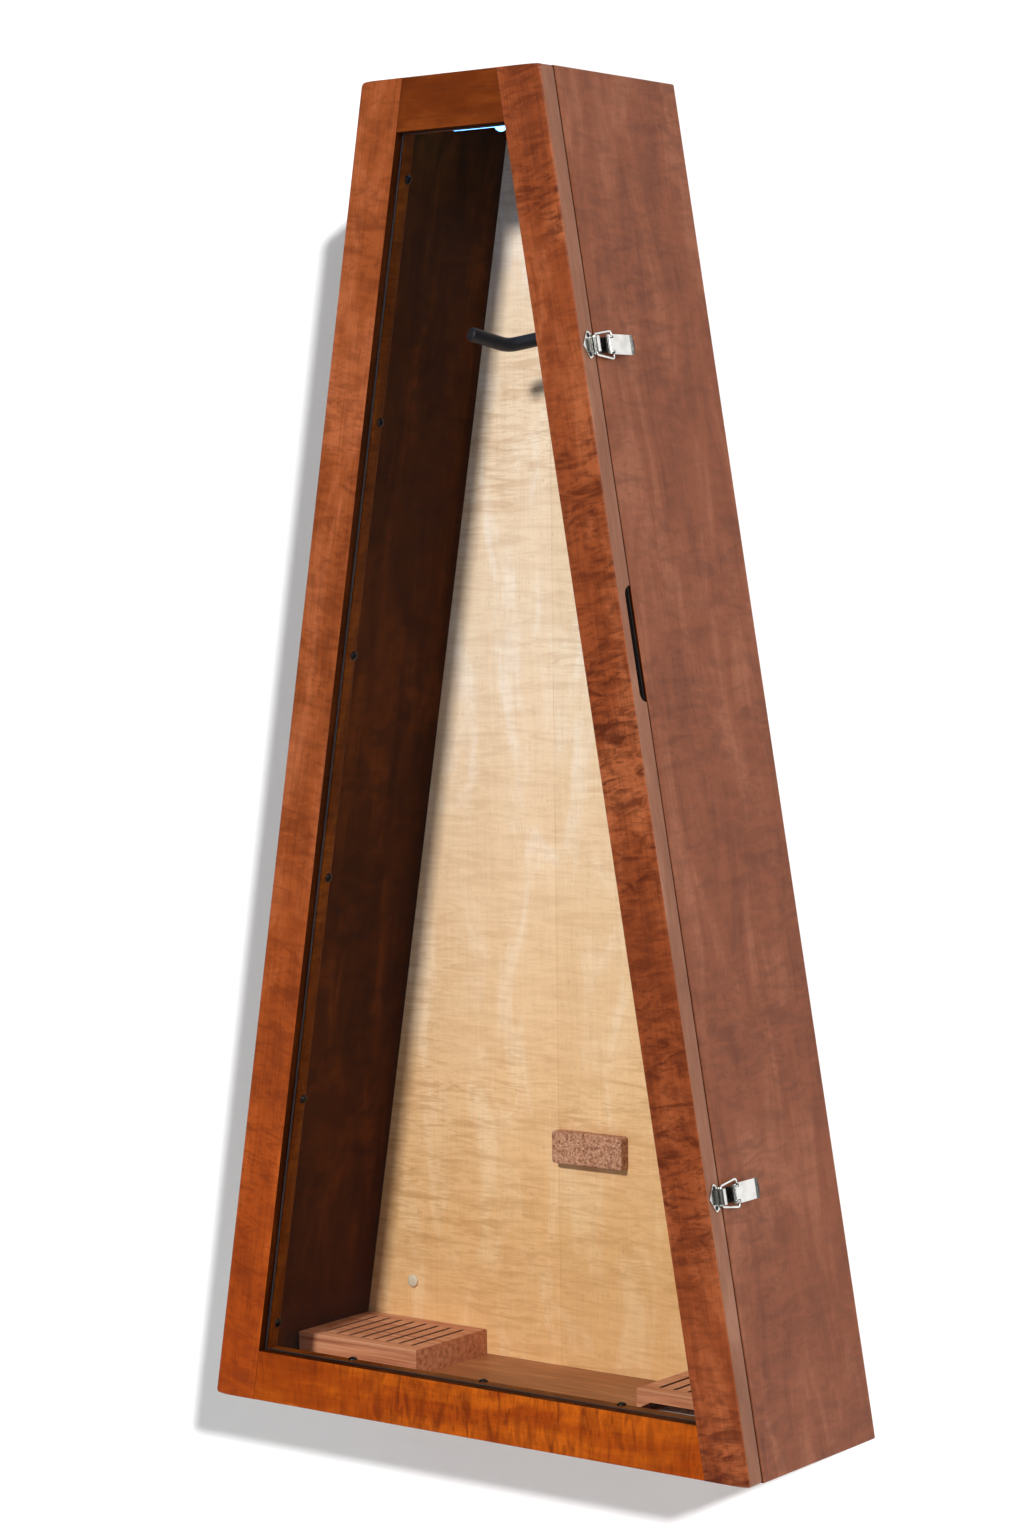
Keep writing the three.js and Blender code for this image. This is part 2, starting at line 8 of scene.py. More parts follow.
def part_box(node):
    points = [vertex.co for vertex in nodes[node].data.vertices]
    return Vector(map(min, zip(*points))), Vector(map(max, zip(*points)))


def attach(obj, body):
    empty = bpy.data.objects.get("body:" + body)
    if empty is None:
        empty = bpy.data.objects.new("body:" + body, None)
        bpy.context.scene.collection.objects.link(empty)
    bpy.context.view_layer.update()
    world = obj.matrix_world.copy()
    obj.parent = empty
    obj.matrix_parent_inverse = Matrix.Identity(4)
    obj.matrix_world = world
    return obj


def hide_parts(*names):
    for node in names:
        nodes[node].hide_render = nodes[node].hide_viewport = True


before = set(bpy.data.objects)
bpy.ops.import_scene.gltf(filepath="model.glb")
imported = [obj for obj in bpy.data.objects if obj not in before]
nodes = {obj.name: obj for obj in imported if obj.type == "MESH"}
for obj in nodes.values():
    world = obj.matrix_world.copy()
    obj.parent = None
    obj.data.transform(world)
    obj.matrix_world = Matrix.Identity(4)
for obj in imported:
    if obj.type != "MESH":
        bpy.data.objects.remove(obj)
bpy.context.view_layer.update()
scene = bpy.context.scene
print("frame loaded:", len(nodes), "nodes")

# Shared measures of the case, in metres. Heights are from the bottom of the case.
case = {
    "bottomHalf": 0.317,
    "topHalf": 0.104,
    "height": 1.27,
    "bottomZ": -1.1,
    "front": -0.1984,
    "doorBack": -0.20055,
    "backFace": -0.01315,
    "floorTop": 0.0225,
}
slope = (case["bottomHalf"] - case["topHalf"]) / case["height"]
tilt = math.atan(slope)


def halfWidth(height):
    return case["bottomHalf"] - slope * height


def edgePlace(side, height):  # local x is square to the slanted edge, local z runs up it
    spot = Vector((side * halfWidth(height), 0, height + case["bottomZ"]))
    return Matrix.Translation(spot) @ Matrix.Rotation(-side * tilt, 4, "Y")


def atHeight(x, y, height):
    return Matrix.Translation((x, y, height + case["bottomZ"]))


# ---- node helpers

def tone(red, green, blue):  # 0-255 screen colour to a linear one
    parts = []
    for value in (red, green, blue):
        share = value / 255
        parts.append(share / 12.92 if share < 0.04045 else ((share + 0.055) / 1.055) ** 2.4)
    return (*parts, 1)


def addNode(tree, kind, inputs=None, **settings):
    node = tree.nodes.new("ShaderNode" + kind)
    for key, value in settings.items():
        setattr(node, key, value)
    for key, value in (inputs or {}).items():
        if isinstance(value, bpy.types.NodeSocket):
            tree.links.new(value, node.inputs[key])
        else:
            node.inputs[key].default_value = value
    return node


def newFinish(name, color, roughness, metallic=0.0):
    finish = bpy.data.materials.new(name)
    finish.use_nodes = True
    shader = finish.node_tree.nodes["Principled BSDF"]
    shader.inputs["Base Color"].default_value = color
    shader.inputs["Roughness"].default_value = roughness
    shader.inputs["Metallic"].default_value = metallic
    finish.diffuse_color = color
    return finish, finish.node_tree, shader


def objectSpace(tree, turn=(0, 0, 0), scale=(1, 1, 1), shift=(0, 0, 0)):
    source = addNode(tree, "TexCoord")
    node = addNode(tree, "Mapping", {"Vector": source.outputs["Object"]})
    node.inputs["Rotation"].default_value = turn
    node.inputs["Scale"].default_value = scale
    node.inputs["Location"].default_value = shift
    return node.outputs["Vector"]


def stretched(tree, vector, scale, shift=(0, 0, 0)):
    node = addNode(tree, "Mapping", {"Vector": vector})
    node.inputs["Scale"].default_value = scale
    node.inputs["Location"].default_value = shift
    return node.outputs["Vector"]


def noiseOf(tree, vector, detail=3.0, rough=0.55, distort=0.0, scale=1.0):
    values = {"Vector": vector, "Scale": scale, "Detail": detail,
              "Roughness": rough, "Distortion": distort}
    return addNode(tree, "TexNoise", values).outputs["Fac"]


def rampOf(tree, factor, stops, smooth=False):
    node = addNode(tree, "ValToRGB", {"Fac": factor})
    elements = node.color_ramp.elements
    node.color_ramp.interpolation = "EASE" if smooth else "LINEAR"
    elements[0].position, elements[0].color = stops[0]
    elements[1].position, elements[1].color = stops[-1]
    for position, color in stops[1:-1]:
        elements.new(position).color = color
    return node.outputs["Color"]


def mixOf(tree, mode, factor, first, second):
    node = addNode(tree, "Mix", data_type="RGBA", blend_type=mode)
    for socket, value in ((node.inputs[0], factor), (node.inputs[6], first), (node.inputs[7], second)):
        if isinstance(value, bpy.types.NodeSocket):
            tree.links.new(value, socket)
        else:
            socket.default_value = value
    return node.outputs[2]


def rangeOf(tree, value, fromLow, fromHigh, toLow, toHigh):
    values = {"Value": value, "From Min": fromLow, "From Max": fromHigh,
              "To Min": toLow, "To Max": toHigh}
    return addNode(tree, "MapRange", values).outputs["Result"]


def grey(value):
    return (value, value, value, 1)


def bumpInto(tree, shader, height, distance, strength):
    node = addNode(tree, "Bump", {"Height": height, "Distance": distance, "Strength": strength})
    tree.links.new(node.outputs["Normal"], shader.inputs["Normal"])
    return node


# ---- wood. Local z is the grain after the turn; the flames lie across it.

woodLooks = {
    "frameRight": {
        "turn": (0, tilt, 0), "shift": (0.31, 0.2, 0.4), "flame": (36, 36, 112), "shine": 0.14, "figure": 0.9,
        "tones": ((80, 28, 5), (138, 67, 31), (164, 90, 52)), "fibre": 0.2, "coat": 0.14, "warm": 0.15,
    },
    "frameLeft": {
        "turn": (0, -tilt, 0), "shift": (1.3, 0.7, 0.1), "flame": (32, 32, 88), "shine": 0.12, "figure": 0.55,
        "tones": ((90, 35, 8), (146, 74, 34), (170, 94, 55)), "fibre": 0.2, "coat": 0.1, "warm": 1.0,
    },
    "frameBottom": {
        "turn": (0, -math.pi / 2, 0), "shift": (2.2, 0.4, 0.9), "flame": (26, 26, 105), "shine": 0.08, "figure": 0.75,
        "tones": ((90, 32, 0), (148, 68, 4), (178, 94, 16)), "fibre": 0.14, "coat": 0.08, "warm": 0.5,
    },
    "frameTop": {
        "turn": (0, -math.pi / 2, 0), "shift": (0.6, 1.4, 0.3), "flame": (55, 55, 14), "shine": 0.08, "figure": 0.3,
        "tones": ((72, 26, 2), (98, 41, 5), (118, 55, 14)), "fibre": 0.14, "coat": 0.08, "warm": 0.0,
    },
    "caseRight": {
        "turn": (0, tilt, 0), "shift": (0.2, 0.5, 1.1), "flame": (24, 24, 72), "shine": 0.14, "figure": 0.52,
        "tones": ((84, 38, 18), (126, 68, 40), (142, 84, 56)), "fibre": 0.12, "coat": 0.05, "warm": 0.0,
    },
    "caseLeft": {
        "turn": (0, -tilt, 0), "shift": (1.7, 0.1, 0.6), "flame": (24, 24, 72), "shine": 0.14, "figure": 0.52,
        "tones": ((84, 38, 18), (126, 68, 40), (142, 84, 56)), "fibre": 0.12, "coat": 0.05, "warm": 0.0,
    },
    "caseTop": {
        "turn": (0, -math.pi / 2, 0), "shift": (0.9, 0.9, 0.2), "flame": (24, 24, 72), "shine": 0.14, "figure": 0.5,
        "tones": ((84, 38, 18), (126, 68, 40), (142, 84, 56)), "fibre": 0.12, "coat": 0.05, "warm": 0.0,
    },
    # painted shade: the case wood darkened for the shaded inner walls and ceiling of the case
    "innerSidePaintedShade": {
        "turn": (0, -tilt, 0), "shift": (0.3, 0.3, 0.7), "flame": (30, 30, 70), "shine": 0.02, "figure": 0.5,
        "tones": ((40, 16, 2), (76, 34, 4), (96, 46, 8)), "fibre": 0.2, "coat": 0.0, "warm": 0.0,
    },
    "floorInside": {
        "turn": (0, -math.pi / 2, 0), "shift": (0.8, 0.2, 0.5), "flame": (170, 170, 9), "shine": 0.15, "figure": 0.7,
        "tones": ((128, 76, 42), (170, 108, 66), (192, 130, 86)), "fibre": 0.2, "coat": 0.05, "warm": 0.0,
    },
    "stopStrip": {
        "turn": (0, 0, 0), "shift": (0.5, 0.8, 0.2), "flame": (20, 20, 90), "shine": 0.05, "figure": 0.5,
        "tones": ((58, 24, 2), (104, 50, 10), (126, 66, 18)), "fibre": 0.2, "coat": 0.0, "warm": 0.0,
    },
    "doorEdge": {
        "turn": (0, tilt, 0), "shift": (0.7, 0.3, 0.2), "flame": (50, 50, 12), "shine": 0.14, "figure": 0.3,
        "tones": ((104, 62, 42), (134, 86, 62), (150, 102, 78)), "fibre": 0.14, "coat": 0.1, "warm": 0.0,
    },
    # painted shade: the door wood darkened for the shaded narrow faces round the pane and the case boards' front edges
    "rabbet": {
        "turn": (0, tilt, 0), "shift": (0.2, 0.6, 0.8), "flame": (50, 50, 12), "shine": 0.02, "figure": 0.4,
        "tones": ((34, 12, 2), (64, 26, 4), (82, 36, 8)), "fibre": 0.16, "coat": 0.0, "warm": 0.0,
    },
    "backPanel": {
        "turn": (0, 0, 0), "shift": (0.15, 0.1, 0.35), "flame": (19, 19, 140), "shine": 0.1, "figure": 0.6, "cloud": 0.08,
        "tones": ((206, 168, 128), (248, 226, 198), (255, 242, 226)), "fibre": 0.05, "coat": 0.05, "warm": 0.0,
    },
}


def woodFinish(name):
    look = woodLooks[name]
    deep, middle, bright = (tone(*t) for t in look["tones"])
    finish, tree, shader = newFinish(name, middle, 0.4)
    space = objectSpace(tree, look["turn"], (1, 1, 1), look["shift"])
    clouds = noiseOf(tree, stretched(tree, space, (24, 24, 7)), 4, 0.6, 0.6)
    dim = tuple(b + (a - b) * look.get("cloud", 0.33) for a, b in zip(deep, middle))
    color = rampOf(tree, clouds, ((0.34, dim), (0.47, middle), (0.66, bright)), True)
    where = noiseOf(tree, stretched(tree, space, (6, 6, 7), (4, 1, 3)), 2, 0.5, 0.3)
    amount = rangeOf(tree, where, 0.36, 0.6, look["figure"] * 0.45, look["figure"])
    flames = noiseOf(tree, stretched(tree, space, look["flame"]), 4, 0.6, 0.8)
    dark = rangeOf(tree, flames, 0.56, 0.36, 0.0, 1.0)
    lines = noiseOf(tree, stretched(tree, space, [v * 2.3 for v in look["flame"]], (3, 1, 2)), 2, 0.5, 0.8)
    thin = rangeOf(tree, lines, 0.48, 0.34, 0.0, 0.7)
    dark = addNode(tree, "Math", {0: dark, 1: thin}, operation="MAXIMUM").outputs[0]
    share = addNode(tree, "Math", {0: dark, 1: amount}, operation="MULTIPLY", use_clamp=True).outputs[0]
    color = mixOf(tree, "MIX", share, color, deep)
    fibres = noiseOf(tree, stretched(tree, space, (620, 620, 11)), 3, 0.6)
    low = 1 - look["fibre"]
    color = mixOf(tree, "MULTIPLY", 1, color, rampOf(tree, fibres, ((0.36, grey(low)), (0.56, grey(1)))))
    pores = noiseOf(tree, stretched(tree, space, (900, 900, 130), (5, 5, 5)), 1, 0.5)
    color = mixOf(tree, "MULTIPLY", 1, color, rampOf(tree, pores, ((0.24, grey(0.78)), (0.31, grey(1)))))
    if look["warm"]:  # the colour turns more orange towards the bottom
        place = addNode(tree, "TexCoord").outputs["Object"]
        rise = addNode(tree, "SeparateXYZ", {0: place}).outputs["Z"]
        share = rangeOf(tree, rise, -0.45, -1.05, 0.0, look["warm"])
        color = mixOf(tree, "MULTIPLY", share, color, (1.32, 0.86, 0.1, 1))
    if name == "backPanel":  # painted light: the panel is warmer low down, standing in for the cool strip light above; two leaves of veneer meet in a fine upright joint
        place = addNode(tree, "TexCoord").outputs["Object"]
        parts = addNode(tree, "SeparateXYZ", {0: place})
        across = parts.outputs["X"]
        # painted light: warm tint that grows towards the bottom of the panel
        color = mixOf(tree, "MULTIPLY", rangeOf(tree, parts.outputs["Z"], -0.35, -0.95, 0.0, 1.0), color,
                      tone(252, 224, 182))
        leaf = rangeOf(tree, across, -0.0424, -0.0418, 0.0, 1.0)
        color = mixOf(tree, "MULTIPLY", leaf, color, tone(250, 249, 246))
        away = addNode(tree, "Math", {0: across, 1: 0.042}, operation="ADD").outputs[0]
        away = addNode(tree, "Math", {0: away}, operation="ABSOLUTE").outputs[0]
        color = mixOf(tree, "MULTIPLY", rangeOf(tree, away, 0.0, 0.0007, 0.25, 0.0), color, tone(190, 150, 110))
    tree.links.new(color, shader.inputs["Base Color"])
    tree.links.new(rangeOf(tree, fibres, 0.3, 0.7, 0.5, 0.36), shader.inputs["Roughness"])
    shader.inputs["Specular IOR Level"].default_value = look["shine"]
    shader.inputs["Coat Weight"].default_value = look["coat"]
    shader.inputs["Coat Roughness"].default_value = 0.14
    bumpInto(tree, shader, fibres, 0.0002, 0.18)
    return finish


wood = {name: woodFinish(name) for name in woodLooks}


def cedarFinish():
    look = {"tones": ((168, 100, 66), (208, 140, 100), (226, 166, 128))}
    finish, tree, shader = newFinish("cedar", tone(*look["tones"][1]), 0.7)
    space = objectSpace(tree)
    deep, middle, bright = (tone(*t) for t in look["tones"])
    grain = noiseOf(tree, stretched(tree, space, (6, 210, 210)), 4, 0.6, 0.5)
    color = rampOf(tree, grain, ((0.34, deep), (0.5, middle), (0.66, bright)))
    streaks = noiseOf(tree, stretched(tree, space, (30, 1400, 1400)), 2, 0.6)
    color = mixOf(tree, "MULTIPLY", 1, color, rampOf(tree, streaks, ((0.3, grey(0.86)), (0.6, grey(1)))))
    tree.links.new(color, shader.inputs["Base Color"])
    bumpInto(tree, shader, streaks, 0.0002, 0.3)
    return finish


def slotEdgeFinish():  # the walls of sawn slots and the loading mouth, browner than the faces
    finish, tree, shader = newFinish("slotEdge", tone(120, 74, 52), 0.85)
    grain = noiseOf(tree, stretched(tree, objectSpace(tree), (30, 500, 500)), 3)
    color = rampOf(tree, grain, ((0.35, tone(92, 54, 36)), (0.65, tone(150, 98, 72))))
    tree.links.new(color, shader.inputs["Base Color"])
    return finish


def corkFinish():
    finish, tree, shader = newFinish("cork", tone(186, 134, 104), 0.9)
    space = objectSpace(tree)
    cells = addNode(tree, "TexVoronoi", {"Vector": space, "Scale": 520.0})
    grains = rampOf(tree, cells.outputs["Color"], ((0.1, tone(136, 86, 60)), (0.45, tone(184, 130, 100)),
                                                    (0.9, tone(214, 166, 134))))
    specks = noiseOf(tree, space, 3, 0.7, 0.0, 900.0)
    color = mixOf(tree, "MULTIPLY", 1, grains, rampOf(tree, specks, ((0.32, grey(0.45)), (0.46, grey(1)))))
    tree.links.new(color, shader.inputs["Base Color"])
    bumpInto(tree, shader, cells.outputs["Distance"], 0.0006, 0.55)
    return finish


def metalFinish(name, color, roughness, streak=None, wear=0.06):
    finish, tree, shader = newFinish(name, color, roughness, 1.0)
    space = objectSpace(tree)
    lines = noiseOf(tree, stretched(tree, space, streak or (240, 240, 240)), 4, 0.65)
    tree.links.new(rangeOf(tree, lines, 0.3, 0.7, roughness - wear, roughness + wear), shader.inputs["Roughness"])
    smudge = noiseOf(tree, space, 2, 0.5, 0.0, 90.0)
    dull = tuple(v * 0.84 for v in color[:3]) + (1,)
    tree.links.new(rampOf(tree, smudge, ((0.35, dull), (0.6, color))), shader.inputs["Base Color"])
    bumpInto(tree, shader, lines, 0.00005, 0.12 if streak else 0.04)
    return finish


def mattFinish(name, color, roughness, grainScale, depth, strength=0.35, sheen=0.0):
    finish, tree, shader = newFinish(name, color, roughness)
    space = objectSpace(tree)
    grain = noiseOf(tree, space, 4, 0.6, 0.0, grainScale)
    dark = tuple(v * 0.72 for v in color[:3]) + (1,)
    light = tuple(min(1, v * 1.15) for v in color[:3]) + (1,)
    tree.links.new(rampOf(tree, grain, ((0.3, dark), (0.7, light))), shader.inputs["Base Color"])
    tree.links.new(rangeOf(tree, grain, 0.3, 0.7, roughness + 0.08, roughness - 0.08), shader.inputs["Roughness"])
    shader.inputs["Sheen Weight"].default_value = sheen
    bumpInto(tree, shader, grain, depth, strength)
    return finish


def paneFinish():  # clear acrylic: mostly see-through, a mirror sheen at low angles
    finish, tree, shader = newFinish("clearPane", (1, 1, 1, 1), 0.04)
    facing = addNode(tree, "Fresnel", {"IOR": 1.3}).outputs[0]
    smears = noiseOf(tree, objectSpace(tree), 3, 0.6, 0.3, 14.0)
    tree.links.new(rangeOf(tree, smears, 0.3, 0.7, 0.03, 0.07), shader.inputs["Roughness"])
    shader.inputs["Metallic"].default_value = 1.0
    tree.links.new(rangeOf(tree, facing, 0.0, 1.0, 0.0, 0.22), shader.inputs["Alpha"])
    return finish


def lensFinish():
    look = {"glow": (0.14, 0.46, 1.0, 1), "strength": 5.0}
    finish, tree, shader = newFinish("lightLens", (0.85, 0.95, 1, 1), 0.35)
    cells = noiseOf(tree, stretched(tree, objectSpace(tree), (110, 20, 20)), 1, 0.5)
    glow = rampOf(tree, cells, ((0.3, (0.11, 0.4, 1, 1)), (0.7, look["glow"])))
    tree.links.new(glow, shader.inputs["Emission Color"])
    shader.inputs["Emission Strength"].default_value = look["strength"]
    return finish


finishes = {
    "cedar": cedarFinish(),
    "slotEdge": slotEdgeFinish(),
    "cork": corkFinish(),
    "nickel": metalFinish("nickel", (0.7, 0.7, 0.67, 1), 0.17),
    # dark steel for the strike screws and the lever tip; also painted shade in the latch cradle
    "darkSteelAndPaintedShade": metalFinish("darkSteelAndPaintedShade", (0.05, 0.05, 0.048, 1), 0.3),
    "blackScrew": metalFinish("blackScrew", (0.03, 0.03, 0.032, 1), 0.32),
    "brushedSteel": metalFinish("brushedSteel", (0.66, 0.65, 0.63, 1), 0.3, (9, 700, 700)),
    "railAluminium": metalFinish("railAluminium", (0.74, 0.75, 0.77, 1), 0.36, (6, 800, 800)),
    "blackMetal": mattFinish("blackMetal", (0.01, 0.01, 0.012, 1), 0.42, 900.0, 0.0001, 0.2),
    "blackRubber": mattFinish("blackRubber", (0.008, 0.008, 0.013, 1), 0.5, 1100.0, 0.0001, 0.3, 0.05),
    "sealFoam": mattFinish("sealFoam", (0.004, 0.0022, 0.0014, 1), 0.9, 1500.0, 0.0003, 0.6),
    "creamPlastic": mattFinish("creamPlastic", (0.78, 0.69, 0.52, 1), 0.4, 700.0, 0.00005, 0.2),
    "pouchFilm": mattFinish("pouchFilm", (0.62, 0.6, 0.62, 1), 0.38, 160.0, 0.0008, 0.5),
    "clearPane": paneFinish(),
    "lightLens": lensFinish(),
}
print("finishes made:", len(wood) + len(finishes))


# ---- mesh helpers

def cadCopy(node):  # merged and cleaned, ready for rounding
    shape = bmesh.new()
    shape.from_mesh(nodes[node].data)
    bmesh.ops.remove_doubles(shape, verts=shape.verts, dist=2e-5)
    bmesh.ops.dissolve_limit(shape, angle_limit=math.radians(1), use_dissolve_boundaries=False,
                             verts=shape.verts, edges=shape.edges)
    return shape


def roundEdges(shape, offset, segments=2, least=30, chosen=None):
    limit = math.radians(least)
    sharp = [e for e in shape.edges if e.is_manifold and e.calc_face_angle(0) > limit]
    if chosen:
        sharp = [e for e in sharp if chosen(e)]
    bmesh.ops.bevel(shape, geom=sharp, offset=offset, offset_type="OFFSET", segments=segments,
                    profile=0.5, affect="EDGES", material=-1, clamp_overlap=True)


def makePiece(name, shape, finish, body, replaced=(), sharp=38, flatWeighted=True):
    mesh = bpy.data.meshes.new(name)
    shape.to_mesh(mesh)
    shape.free()
    mesh.shade_smooth()
    mesh.set_sharp_from_angle(angle=math.radians(sharp))
    for one in finish if isinstance(finish, (list, tuple)) else [finish]:
        mesh.materials.append(one)
    piece = bpy.data.objects.new(name, mesh)
    scene.collection.objects.link(piece)
    if flatWeighted:
        piece.modifiers.new("Flat faces", "WEIGHTED_NORMAL").keep_sharp = True
    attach(piece, body)
    if replaced:
        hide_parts(*replaced)
    return piece


def spunProfile(points, steps=32):  # a turned shape about z from (radius, height) points
    shape = bmesh.new()
    corners = [shape.verts.new((radius, 0, height)) for radius, height in points]
    edges = [shape.edges.new(pair) for pair in zip(corners, corners[1:])]
    bmesh.ops.spin(shape, geom=corners + edges, cent=(0, 0, 0), axis=(0, 0, 1),
                   angle=math.tau, steps=steps, use_merge=True, use_duplicate=False)
    bmesh.ops.remove_doubles(shape, verts=shape.verts, dist=1e-6)
    bmesh.ops.recalc_face_normals(shape, faces=shape.faces)
    return shape


def addCopies(target, source, places):
    for place in places:
        mesh = source if isinstance(source, bpy.types.Mesh) else None
        before = len(target.verts)
        target.from_mesh(mesh)
        target.verts.ensure_lookup_table()
        bmesh.ops.transform(target, matrix=place, verts=target.verts[before:])


def meshOf(shape, name="part"):
    mesh = bpy.data.meshes.new(name)
    shape.to_mesh(mesh)
    shape.free()
    return mesh


def carved(shape, cutter):  # one boolean cut, applied at once
    holder = bpy.data.objects.new("carvedHolder", meshOf(shape))
    tool = bpy.data.objects.new("carvedTool", meshOf(cutter))
    for one in (holder, tool):
        scene.collection.objects.link(one)
    modifier = holder.modifiers.new("Cut", "BOOLEAN")
    modifier.object, modifier.operation, modifier.solver = tool, "DIFFERENCE", "EXACT"
    bpy.context.view_layer.update()
    result = bpy.data.meshes.new_from_object(holder.evaluated_get(bpy.context.evaluated_depsgraph_get()))
    bpy.data.objects.remove(holder)
    bpy.data.objects.remove(tool)
    return result


def boxShape(shape, size, centre=(0, 0, 0)):
    made = bmesh.ops.create_cube(shape, size=1)["verts"]
    bmesh.ops.scale(shape, vec=size, verts=made)
    bmesh.ops.translate(shape, vec=centre, verts=made)
    return made


def screwMesh(radius, height, steps=20):  # a round head with a cross recess, on z = 0
    rise = [(radius * math.cos(a), height * math.sin(a)) for a in (0, 0.35, 0.7, 1.05, 1.3)]
    head = spunProfile([(0, -0.0004), (radius, -0.0004), *rise, (0, height)], steps)
    cutter = bmesh.new()
    boxShape(cutter, (radius * 1.15, radius * 0.24, height * 1.1), (0, 0, height * 0.95))
    head = meshOfCarved(head, cutter)
    cutter = bmesh.new()
    boxShape(cutter, (radius * 0.24, radius * 1.15, height * 1.1), (0, 0, height * 0.95))
    return carvedAgain(head, cutter)


def meshOfCarved(shape, cutter):
    return carved(shape, cutter)


def carvedAgain(mesh, cutter):
    shape = bmesh.new()
    shape.from_mesh(mesh)
    return carved(shape, cutter)


def tubePath(points, radii, sides=8):  # a smooth tube of varying radius, capped
    data = bpy.data.curves.new("tube", "CURVE")
    data.dimensions = "3D"
    data.bevel_depth = 1.0
    data.bevel_resolution = sides
    data.use_fill_caps = True
    spline = data.splines.new("POLY")
    spline.points.add(len(points) - 1)
    for spot, point, radius in zip(spline.points, points, radii):
        spot.co = (*point, 1)
        spot.radius = radius
    holder = bpy.data.objects.new("tubeHolder", data)
    scene.collection.objects.link(holder)
    bpy.context.view_layer.update()
    mesh = bpy.data.meshes.new_from_object(holder.evaluated_get(bpy.context.evaluated_depsgraph_get()))
    bpy.data.objects.remove(holder)
    shape = bmesh.new()
    shape.from_mesh(mesh)
    bmesh.ops.remove_doubles(shape, verts=shape.verts, dist=1e-6)
    bmesh.ops.recalc_face_normals(shape, faces=shape.faces)
    return shape


def roundedRoute(points, radius, steps=10):  # straight runs with quadratic corners
    points = [Vector(p) for p in points]
    route = [points[0]]
    for before, corner, after in zip(points, points[1:], points[2:]):
        arrive = corner + (before - corner).normalized() * radius
        leave = corner + (after - corner).normalized() * radius
        for i in range(steps + 1):
            t = i / steps
            route.append(arrive * (1 - t) ** 2 + corner * 2 * t * (1 - t) + leave * t * t)
    route.append(points[-1])
    return route


def flipTo(direction):  # turns z to a direction
    return Vector(direction).to_track_quat("Z", "Y").to_matrix().to_4x4()


# ---- camera, light and stage

view = {"spot": (2.0204, -2.8061, -0.2516), "lens": 83.16}
cameraData = bpy.data.cameras.new("camera")
cameraData.lens = view["lens"]
cameraData.sensor_width = 36
camera = bpy.data.objects.new("camera", cameraData)
aim = Matrix.Rotation(0.648, 4, "Z") @ Matrix.Rotation(math.pi / 2 - 0.066, 4, "X") @ Matrix.Rotation(-0.013, 4, "Z")
camera.matrix_world = Matrix.Translation(view["spot"]) @ aim
scene.collection.objects.link(camera)
scene.camera = camera
scene.view_settings.view_transform = "Standard"

studio = {
    "target": (0, -0.1, -0.5),
    "key": {"azimuth": 6.5, "elevation": 28, "distance": 4.2, "size": 0.34, "power": 146, "color": (1, 0.97, 0.92)},
    "side": {"azimuth": 74, "elevation": 16, "distance": 3.4, "size": 1.4, "power": 45, "color": (0.96, 0.97, 1)},
    "sky": 0.24,
    "wallShaded": {"azimuth": 47, "elevation": 20.5, "strength": 4.5, "angle": 2.6},
    "wallEven": {"azimuth": 10, "elevation": 20, "strength": 0.5, "angle": 1.0},
}


def fromAngles(azimuth, elevation):
    a, e = math.radians(azimuth), math.radians(elevation)
    return Vector((math.sin(a) * math.cos(e), -math.cos(a) * math.cos(e), math.sin(e)))


def softLight(name):
    values = studio[name]
    data = bpy.data.lights.new(name, "AREA")
    data.shape, data.size = "SQUARE", values["size"]
    data.energy, data.color = values["power"], values["color"]
    light = bpy.data.objects.new(name, data)
    back = fromAngles(values["azimuth"], values["elevation"])
    spot = Vector(studio["target"]) + back * values["distance"]
    light.matrix_world = Matrix.Translation(spot) @ flipTo(back)
    scene.collection.objects.link(light)
    return light


def wallLight(name, receivers, shadows):
    values = studio[name]
    data = bpy.data.lights.new(name, "SUN")
    data.energy, data.angle, data.use_shadow = values["strength"], math.radians(values["angle"]), shadows
    light = bpy.data.objects.new(name, data)
    light.matrix_world = flipTo(fromAngles(values["azimuth"], values["elevation"]))
    scene.collection.objects.link(light)
    light.light_linking.receiver_collection = receivers
    return light


def buildStage():
    wall = bmesh.new()
    bmesh.ops.create_grid(wall, x_segments=1, y_segments=1, size=5)
    bmesh.ops.rotate(wall, matrix=Matrix.Rotation(math.pi / 2, 3, "X"), verts=wall.verts)
    bmesh.ops.translate(wall, vec=(0, 0.0006, 2.0), verts=wall.verts)
    floor = bmesh.new()
    bmesh.ops.create_grid(floor, x_segments=1, y_segments=1, size=5)
    bmesh.ops.translate(floor, vec=(0, -4.99, -2.6), verts=floor.verts)
    finish, tree, shader = newFinish("paleWall", (0.86, 0.86, 0.86, 1), 0.9)
    shader.inputs["Specular IOR Level"].default_value = 0.0
    seeThrough = addNode(tree, "BsdfTransparent")
    behind = addNode(tree, "NewGeometry").outputs["Backfacing"]
    mixed = addNode(tree, "MixShader", {0: behind, 1: shader.outputs[0], 2: seeThrough.outputs[0]})
    tree.links.new(mixed.outputs[0], tree.nodes["Material Output"].inputs["Surface"])
    made = []
    for name, shape in (("wall", wall), ("floor", floor)):
        mesh = meshOf(shape, name)
        mesh.materials.append(finish)
        piece = bpy.data.objects.new(name, mesh)
        scene.collection.objects.link(piece)
        made.append(piece)
    return made


wallPiece, floorPiece = buildStage()
wallOnly = bpy.data.collections.new("wallOnly")
wallOnly.objects.link(wallPiece)
notWall = bpy.data.collections.new("notWall")
notWall.objects.link(wallPiece)
notWall.collection_objects[0].light_linking.link_state = "EXCLUDE"
for lightName in ("key", "side"):
    softLight(lightName).light_linking.receiver_collection = notWall
wallLight("wallShaded", wallOnly, True)
wallLight("wallEven", wallOnly, False)

